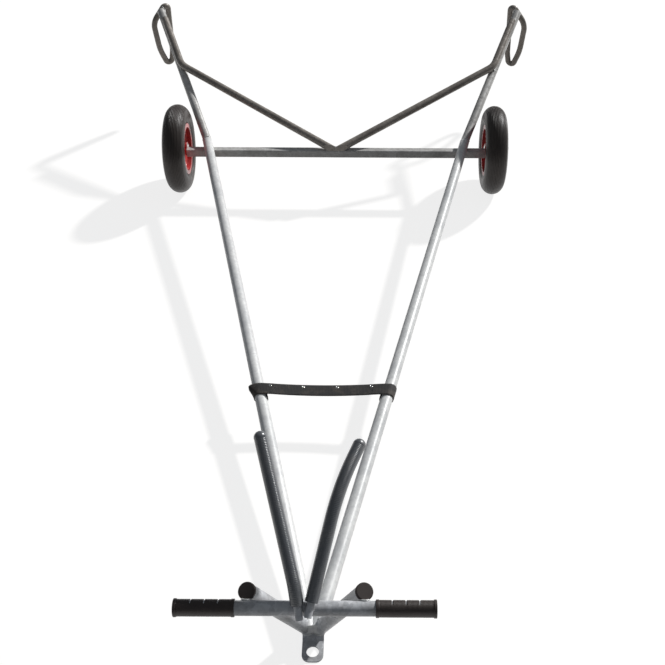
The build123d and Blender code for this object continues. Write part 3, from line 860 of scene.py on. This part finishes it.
# %% Eyelets
EYELET_X, EYELET_FROM_BACK, EYELET_STEPS = [-0.1856, -0.0719, 0.0449, 0.1634], 0.011, 28
EYELET_RING = [
    (0.0016, 0.0001), (0.0022, 0.0009), (0.0036, 0.0012), (0.0054, 0.0008),
    (0.0060, 0.0001), (0.0056, -0.0008), (0.0022, -0.0008),
]


def belt_top(x, y):
    upper = [p for p in strap_line(y) if p.z > rail_centre_at(y).z]
    behind = max((p for p in upper if p.x <= x), key=lambda p: (p.x, p.z))
    ahead = min((p for p in upper if p.x > x), key=lambda p: (p.x, -p.z))
    return behind.lerp(ahead, (x - behind.x) / (ahead.x - behind.x)).z + STRAP_THICK / 2


for index, x in enumerate(EYELET_X):
    y = strap_y + STRAP_HALF - EYELET_FROM_BACK
    centre = Vector((x, y, belt_top(x, y)))
    turns = [2 * math.pi * k / EYELET_STEPS for k in range(EYELET_STEPS)]
    points = [centre + Vector((r * math.cos(a), r * math.sin(a), h)) for a in turns for r, h in EYELET_RING]
    faces = grid_faces(EYELET_STEPS, len(EYELET_RING), True, True)
    name = f"strap_eyelet_{index + 1}"
    make_piece(name, points, faces, eyelet_nickel, "frame", "zinc_plate")

# %% Stitches
STITCH_LENGTH, STITCH_GAP, STITCH_R, SEAM_BOX, SEAM_INSET = 0.0034, 0.0014, 0.00045, 0.028, 0.004
STITCH_HUMP, STITCH_SUNK, STITCH_SEGMENTS = 0.0006, 0.0002, 6


def stitch_row(begin, finish_at):
    way = finish_at - begin
    count = int(way.length / (STITCH_LENGTH + STITCH_GAP))
    parts = []
    for k in range(count):
        path = []
        for share in (0.0, 0.25, 0.5, 0.75, 1.0):
            place = begin + way * ((k + share * STITCH_LENGTH / (STITCH_LENGTH + STITCH_GAP)) / count)
            hump = STITCH_HUMP * math.sin(math.pi * share) - STITCH_SUNK
            path.append(Vector((place.x, place.y, belt_top(place.x, place.y) + hump)))
        parts.append(swept_tube(path, [STITCH_R] * len(path), STITCH_SEGMENTS))
    return parts


for side_sign in (-1, 1):
    inner_x = side_sign * (rail_centre_at(strap_y).x - SEAM_RUN - SEWN_BACK + SEAM_INSET)
    outer_x = inner_x + side_sign * SEAM_BOX
    low_y, high_y = strap_y - STRAP_HALF + SEAM_INSET, strap_y + STRAP_HALF - SEAM_INSET
    spots = ((inner_x, low_y), (inner_x, high_y), (outer_x, high_y), (outer_x, low_y))
    corners = [Vector((x, y, 0)) for x, y in spots]
    sides, diagonals = [(0, 1), (1, 2), (2, 3), (3, 0)], [(0, 2), (1, 3)]
    parts = [part for a, b in sides + diagonals for part in stitch_row(corners[a], corners[b])]
    name = "strap_stitches_" + ("left" if side_sign < 0 else "right")
    make_piece(name, *joined(parts), strap_thread, "frame", "strap_webbing")
    print(name, len(parts), "stitches")

# %% [markdown]
# ## Grips
# The rubber grips have a flange at the outer end, a collar at the inner end and three short slots at
# the back of the top, where the bright bar shows through. The turned profile gives the flange and the
# collar, and the slots press its points in as far as the bar.

# %% Grip shape
GRIP_IN, GRIP_OUT, GRIP_R, GRIP_COLLAR_R, GRIP_END_R = 0.1729, 0.3229, 0.0213, 0.0223, 0.0228
COLLAR_LENGTH, FLANGE_LENGTH, GRIP_RIB_PITCH, GRIP_RIB_DEPTH = 0.008, 0.007, 0.003, 0.0004
SLOT_AT, SLOT_HALF, SLOT_DEPTH = [0.2134, 0.2472, 0.2810], 0.0019, 0.0028
SLOT_BACK, SLOT_FRONT, SLOT_FADE = math.radians(-95), math.radians(8), math.radians(8)
GRIP_ROWS, GRIP_STEPS, GRIP_CHAMFER, BORE_R, BORE_DEEP = 240, 64, 0.0012, 0.01925, 0.020


def grip_radius(x):
    if x < GRIP_IN + COLLAR_LENGTH:
        return GRIP_COLLAR_R
    if x > GRIP_OUT - FLANGE_LENGTH:
        return GRIP_END_R
    return GRIP_R - GRIP_RIB_DEPTH * (0.5 - 0.5 * math.cos((x - GRIP_IN) * 2 * math.pi / GRIP_RIB_PITCH))


def slot_depth(x, angle):
    angle = (angle + math.pi) % (2 * math.pi) - math.pi
    inside = min(angle - SLOT_BACK, SLOT_FRONT - angle) / SLOT_FADE
    across = sum(max(0.0, 1 - (abs(x - at) / SLOT_HALF) ** 6) for at in SLOT_AT)
    return SLOT_DEPTH * across * min(1.0, max(0.0, inside))


def circle_about_bar(x, radius_at):
    turns = [2 * math.pi * k / GRIP_STEPS for k in range(GRIP_STEPS)]
    spots = []
    for angle in turns:
        radius = radius_at(angle)
        spots.append(BAR_PLACE + Vector((x, -radius * math.sin(angle), radius * math.cos(angle))))
    return spots


print("grip slots", len(SLOT_AT))

# %% Grips
def grip_mesh():
    points = circle_about_bar(GRIP_IN + BORE_DEEP, lambda angle: BORE_R)
    points += circle_about_bar(GRIP_IN, lambda angle: BORE_R)
    for i in range(GRIP_ROWS + 1):
        x = GRIP_IN + (GRIP_OUT - GRIP_IN) * i / GRIP_ROWS
        radius = grip_radius(x) - (GRIP_CHAMFER if i in (0, GRIP_ROWS) else 0.0)
        points += circle_about_bar(x, lambda angle: radius - slot_depth(x, angle))
    points += circle_about_bar(GRIP_OUT, lambda angle: GRIP_END_R / 2)
    rows = len(points) // GRIP_STEPS
    faces = grid_faces(rows, GRIP_STEPS, False, True)
    faces.append(tuple(reversed(range(GRIP_STEPS))))
    faces.append(tuple(range((rows - 1) * GRIP_STEPS, rows * GRIP_STEPS)))
    return points, faces


for side_name in ("left", "right"):
    points, faces = grip_mesh()
    if side_name == "left":
        points, faces = mirrored(points), [tuple(reversed(face)) for face in faces]
    grip = make_piece("slotted_grip_" + side_name, points, faces, grip_rubber, "frame", "black_rubber")
    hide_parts("handle_grip_" + side_name)
    print(grip.name, len(faces), "faces")

# %% [markdown]
# ## Weld beads
# The trolley is welded from tube, and the weld beads show as bright rippled lines at each joint. One
# way is to model each bead by hand. Here a ring of rays runs along a tube on its surface until it
# meets the next piece, and the bead follows the points that it finds. Where two round tubes only
# touch side on, the bead fills the narrow gap round the place where they touch.

# %% Beads
BEAD_R, BEAD_RIPPLE, BEAD_STEP, RIPPLE_PITCH, BEAD_SIDES = 0.0026, 0.16, 0.0007, 0.0026, 8
BEAD_LOW, BEAD_END, DRIFT_KEPT, DRIFT_STEP = 0.92, 0.5, 0.9, 0.02
random.seed(7)


def bead(path, closed=False):
    line = evened(path + ([path[0]] if closed else []), BEAD_STEP)
    if closed:
        line = line[:-1]
    radii, drift = [], 0.0
    for i in range(len(line)):
        drift = DRIFT_KEPT * drift + random.uniform(-DRIFT_STEP, DRIFT_STEP)
        ripple = BEAD_RIPPLE * abs(math.sin(math.pi * i * BEAD_STEP / RIPPLE_PITCH))
        radii.append(BEAD_R * (BEAD_LOW + ripple + drift))
    if not closed:
        radii[0] *= BEAD_END
        radii[-1] *= BEAD_END
    return swept_tube(line, radii, BEAD_SIDES, closed)


def surface_of(*names):
    parts = []
    for name in names:
        piece = nodes[name]
        spots = [piece.matrix_world @ v.co for v in piece.data.vertices]
        parts.append((spots, [tuple(p.vertices) for p in piece.data.polygons]))
    return BVHTree.FromPolygons(*joined(parts))


print("bead radius", BEAD_R)

# %% Beads found by rays
RAYS, WIDEST_STEP, SHORTEST_RUN = 72, 3, 5


def cast_beads(surface, start, way, radius, back=0.0, reach=0.0):
    start = start - way * back
    way = way.normalized()
    first = way.orthogonal().normalized()
    second = way.cross(first)
    hits = []
    for k in range(RAYS):
        angle = 2 * math.pi * k / RAYS
        out = first * math.cos(angle) + second * math.sin(angle)
        hits.append(surface.ray_cast(start + out * radius, way, reach)[0])
    if all(hits):
        return [bead(hits, closed=True)]
    runs, run = [], []
    widest = WIDEST_STEP * radius * 2 * math.pi / RAYS
    gap = hits.index(None)
    for hit in hits[gap:] + hits[:gap] + [None]:
        if hit is not None and (not run or (hit - run[-1]).length < widest):
            run.append(hit)
            continue
        if len(run) > SHORTEST_RUN:
            runs.append(run)
        run = [hit] if hit is not None else []
    return [bead(run) for run in runs]


print("rays to a ring", RAYS)

# %% Beads where tubes touch
TOUCH_STEPS, BEAD_GAP, LONGEST_REACH, FLATTEST = 48, 0.0034, 0.02, 1e-6


def touch_ring(place, out, way_a, radius_a, way_b, radius_b):
    out = out.normalized()
    path = []
    for k in range(TOUCH_STEPS):
        angle = 2 * math.pi * k / TOUCH_STEPS
        along = (way_a - out * way_a.dot(out)).normalized()
        across = out.cross(along)
        way = along * math.cos(angle) + across * math.sin(angle)
        # The gap between the tubes grows by bend, and its middle rises by lift, with distance squared
        bend, lift = 0.0, 0.0
        for tube_way, radius, sign in ((way_a, radius_a, -1), (way_b, radius_b, 1)):
            off = (way - tube_way.normalized() * way.dot(tube_way.normalized())).length
            bend += off**2 / (2 * radius)
            lift += sign * off**2 / (2 * radius)
        reach = min(math.sqrt(BEAD_GAP / max(bend, FLATTEST)), LONGEST_REACH)
        path.append(place + way * reach + out * (lift * reach**2 / 2))
    return bead(path, closed=True)


print("gap that a bead fills", BEAD_GAP)

# %% Rear welds
LOOP_POINT = Vector((0.8906, 0.7652 + axle_y, 0.5609))
BEND_POINT = Vector((0.5950, 0.0130 + axle_y, 0.2420))
BRACE_KNEE = Vector((0.7447, 0.3846 + axle_y, 0.4388))
BRACE_AIM = Vector((0.0, -0.0578 + axle_y, 0.2245))
REAR_ARM_R, BRACE_R, BRACE_END_GAP, RAIL_PAST_AXLE, ARM_SKIM = 0.019, 0.01685, 0.110, 0.027, 0.0003
STITCH_WELD, STITCH_EVERY, FIRST_WELD, LAST_WELD = 0.045, 0.085, -0.010, 0.03
back_way = (LOOP_POINT - BEND_POINT).normalized()
front_way = (NOSE - RAIL_AT_AXLE).normalized()
knee_foot = BEND_POINT + back_way * (BRACE_KNEE - BEND_POINT).dot(back_way)
brace_out = (BRACE_KNEE - knee_foot).normalized()
valley_side = back_way.cross(brace_out)
valley_reach = math.sqrt(2 * BEAD_GAP * REAR_ARM_R * BRACE_R / (REAR_ARM_R + BRACE_R))
valley_length = (LOOP_POINT - knee_foot).length - BRACE_END_GAP

loop_surface = surface_of("gunwale_loop_right")
rear = cast_beads(loop_surface, LOOP_POINT, back_way, REAR_ARM_R, back=0.09, reach=0.12)
for sign in (-1, 1):
    start = knee_foot + brace_out * REAR_ARM_R + valley_side * sign * valley_reach
    place = FIRST_WELD
    while place + STITCH_WELD < valley_length:
        rear.append(bead([start + back_way * place, start + back_way * (place + STITCH_WELD)]))
        place += STITCH_EVERY
    rear.append(bead([start + back_way * (valley_length - LAST_WELD), start + back_way * valley_length]))
arm_surface = surface_of("rear_arm_right")
rail_way = -front_way
rail_end = RAIL_AT_AXLE + rail_way * RAIL_PAST_AXLE
rear += cast_beads(arm_surface, rail_end, rail_way, REAR_ARM_R + ARM_SKIM, reach=0.05)
make_piece("rear_welds", *joined(with_mirror(rear)), bead_zinc, "frame", "galvanised_steel")
print("rear welds", 2 * len(rear))

# %% Axle welds
BEAM_TOP, BEAM_HALF, BEAM_END, STUB_ON_BEAM, STUB_WELD_SHORT = 0.2175, 0.0175, 0.6851, 0.120, 0.002
RAIL_WELD_OUT, RAIL_WELD_UP, STUB_WELD_UP, STUB_WELD_BACK = 0.0115, 0.0008, 0.0068, 0.0010
beam_surface = surface_of("axle_beam", "rear_brace_left")
brace_way = (BRACE_AIM - BRACE_KNEE).normalized()
axle_beads = cast_beads(beam_surface, BRACE_AIM, brace_way, BRACE_R, back=0.22, reach=0.26)
for sign in (-1, 1):
    side_step = Vector((sign * RAIL_WELD_OUT, 0, 0))
    foot = Vector((RAIL_AT_AXLE.x, RAIL_AT_AXLE.y, BEAM_TOP + RAIL_WELD_UP)) + side_step
    slope = Vector((front_way.x, front_way.y, 0)).normalized() * BEAM_HALF
    axle_beads.append(bead([foot - slope, foot + slope]))
    stub_z = wheel_joints["wheel_right"].z + sign * STUB_WELD_UP
    stub_y = RAIL_AT_AXLE.y + BEAM_HALF + STUB_WELD_BACK
    stub_from, stub_to = BEAM_END - STUB_ON_BEAM, BEAM_END - STUB_WELD_SHORT
    axle_beads.append(bead([Vector((stub_from, stub_y, stub_z)), Vector((stub_to, stub_y, stub_z))]))
make_piece("axle_welds", *joined(with_mirror(axle_beads)), bead_zinc, "frame", "galvanised_steel")
print("axle welds", 2 * len(axle_beads))

# %% Handle welds
ARM_FOOT = Vector((0.0215, -2.4885 + axle_y, 0.0356))
ARM_TOP = Vector((0.145, -2.6537 + axle_y, 0.419))
BAR_R, POST_R, ARM_R = 0.019, 0.0098, 0.0212


def touching(begin, finish_at, radius):
    way = (finish_at - begin).normalized()
    bar_way = Vector((1, 0, 0))
    normal = way.cross(bar_way).normalized()
    out = normal if (begin - BAR_PLACE).dot(normal) > 0 else -normal
    level = way - bar_way * way.dot(bar_way)
    share = (BAR_PLACE - begin).dot(level) / level.dot(level)
    nearest = begin + way * share
    place = Vector((nearest.x, BAR_PLACE.y, BAR_PLACE.z)) + out * BAR_R
    return touch_ring(place, out, bar_way, BAR_R, way, radius)


handle = with_mirror([touching(ARM_FOOT, ARM_TOP, ARM_R)])
for post in POSTS:
    foot, knee = (BAR_PLACE + Vector(spot) for spot in post[1:3])
    handle.append(touching(foot, knee, POST_R))
make_piece("handle_welds", *joined(handle), bead_zinc, "frame", "galvanised_steel")
print("handle welds", len(handle))

# %% Nose welds
down_way = (ARM_FOOT - ARM_TOP).normalized()
plate_surface = surface_of("tow_eye_plate")
tip_surface = surface_of("handle_arm_right")
nose = cast_beads(plate_surface, ARM_FOOT, down_way, ARM_R, back=0.05, reach=0.09)
nose += cast_beads(tip_surface, NOSE, front_way, RAIL_R, back=0.06, reach=0.11)
make_piece("nose_welds", *joined(with_mirror(nose)), bead_zinc, "frame", "galvanised_steel")
print("nose welds", 2 * len(nose))

# %% [markdown]
# ## Floor and light
# The floor is a plain pale sheet. Its glow is for rays that the camera, a gloss or a clear surface
# sends, so the page is white while the light stays low and the shadow remains. One sun lamp shines
# from high behind the right side, as in the photograph, under an even pale sky.

# %% Floor
FLOOR_BASE, FLOOR_GLOW, FLOOR_HALF, FLOOR_DROP = (0.28, 0.27, 0.258), 0.81, 30.0, 0.0004
floor_finish, tree, shader, place = new_finish(
    "pale floor", Roughness=0.9, Base_Color=colour(*FLOOR_BASE),
    Emission_Color=colour(1.0, 1.0, 1.0),
)
path_kind = add_node(tree, "ShaderNodeLightPath")
first = add_node(tree, "ShaderNodeMath", operation="MAXIMUM")
link(tree, path_kind.outputs["Is Camera Ray"], first.inputs[0])
link(tree, path_kind.outputs["Is Glossy Ray"], first.inputs[1])
seen = add_node(tree, "ShaderNodeMath", operation="MAXIMUM")
link(tree, first.outputs["Value"], seen.inputs[0])
link(tree, path_kind.outputs["Is Transmission Ray"], seen.inputs[1])
glow = span(tree, seen.outputs["Value"], 0.0, 1.0, 0.0, FLOOR_GLOW)
link(tree, glow, shader.inputs["Emission Strength"])
floor_mesh = bpy.data.meshes.new("floor")
corners = [(-FLOOR_HALF, -FLOOR_HALF, 0), (FLOOR_HALF, -FLOOR_HALF, 0), (FLOOR_HALF, FLOOR_HALF, 0)]
floor_mesh.from_pydata(corners + [(-FLOOR_HALF, FLOOR_HALF, 0)], [], [(0, 1, 2, 3)])
floor_mesh.materials.append(floor_finish)
floor = bpy.data.objects.new("floor", floor_mesh)
bpy.context.scene.collection.objects.link(floor)
floor.location.z = -FLOOR_DROP
print("floor half width", FLOOR_HALF, "m")

# %% Light
SUN_WAY, SUN_ENERGY, SUN_ANGLE = Vector((1.0, 0.97, 0.95)), 3.1, math.radians(3.0)
SKY_COLOUR, SKY_STRENGTH = colour(0.84, 0.91, 1.0), 0.16
sun_data = bpy.data.lights.new("sun", "SUN")
sun_data.energy = SUN_ENERGY
sun_data.angle = SUN_ANGLE
sun = bpy.data.objects.new("sun", sun_data)
bpy.context.scene.collection.objects.link(sun)
sun.rotation_euler = SUN_WAY.to_track_quat("Z", "Y").to_euler()
sky = bpy.data.worlds.new("sky")
sky.use_nodes = True
sky.node_tree.nodes["Background"].inputs["Color"].default_value = SKY_COLOUR
sky.node_tree.nodes["Background"].inputs["Strength"].default_value = SKY_STRENGTH
bpy.context.scene.world = sky
bpy.context.scene.view_settings.view_transform = "Standard"
print("sun strength", SUN_ENERGY, "sky strength", SKY_STRENGTH)
